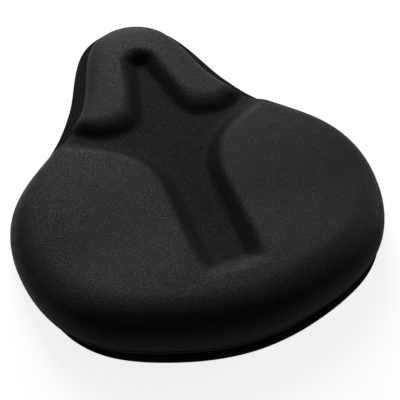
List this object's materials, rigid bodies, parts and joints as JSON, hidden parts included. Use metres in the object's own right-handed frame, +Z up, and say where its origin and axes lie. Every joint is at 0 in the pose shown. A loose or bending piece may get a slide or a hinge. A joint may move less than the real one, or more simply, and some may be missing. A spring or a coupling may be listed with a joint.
{
  "type": "bicycle seat cushion",
  "caption": "Padded pull-over cushion for a wide bicycle saddle: moulded knit-covered foam with relief channel, ribbed side band, elastic hem and hook-and-loop straps underneath.",
  "frame": {"origin": "on the surface it lies on, under the middle of its width and length", "axes": "+Y to the saddle's nose, +X to the rider's right, +Z up"},
  "size_m": [0.2838, 0.3334, 0.0422],
  "materials": {
    "knit": "matte fine knit",
    "foam": "open-cell moulded foam",
    "lining": "non-slip backing cloth",
    "piping": "matte cord binding",
    "rib_knit": "ribbed stretch knit",
    "elastic": "woven elastic tape",
    "webbing": "flat woven webbing",
    "loop_tape": "brushed loop pile",
    "hook_tape": "moulded hooks"
  },
  "bodies": {
    "root": {"top_cover": "knit", "foam_core": "foam", "base_lining": "lining", "seam_piping": "piping", "side_band": "rib_knit", "hem_elastic": "elastic", "front_strap_left": "webbing", "front_strap_right": "webbing", "rear_strap_left": "webbing", "rear_strap_right": "webbing", "front_loop_patch": "loop_tape", "rear_loop_patch": "loop_tape", "front_hook_patch": "hook_tape", "rear_hook_patch": "hook_tape"}
  },
  "joints": []
}
